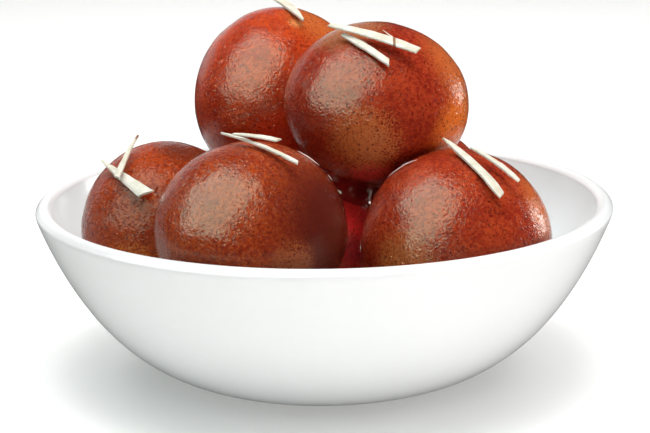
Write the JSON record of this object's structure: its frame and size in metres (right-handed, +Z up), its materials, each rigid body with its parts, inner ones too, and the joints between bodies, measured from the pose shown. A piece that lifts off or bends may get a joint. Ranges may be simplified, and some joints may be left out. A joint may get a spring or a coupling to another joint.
{
  "type": "bowl of gulab jamun",
  "caption": "Round white porcelain bowl heaped with glossy brown syrup-soaked milk dumplings under pale almond slivers.",
  "frame": {"origin": "on the table, under the middle of the bowl's foot", "axes": "+Z up; -Y is the served side, where the heap is lowest and the slivers face"},
  "size_m": [0.14, 0.14, 0.088],
  "materials": {
    "porcelain": "gloss",
    "jamun_skin": "gloss",
    "almond": "satin"
  },
  "bodies": {
    "root": {"bowl": "porcelain", "jamun_top_back": "jamun_skin", "jamun_top_front": "jamun_skin", "jamun_left": "jamun_skin", "jamun_front_left": "jamun_skin", "jamun_front_right": "jamun_skin", "jamun_middle": "jamun_skin", "jamun_back_right": "jamun_skin", "jamun_back_left": "jamun_skin", "sliver_top_back": "almond", "sliver_top_long": "almond", "sliver_top_cut": "almond", "sliver_left_broad": "almond", "sliver_left_thin": "almond", "sliver_front_long": "almond", "sliver_front_short": "almond", "sliver_right_broad": "almond", "sliver_right_thin": "almond"}
  },
  "joints": []
}
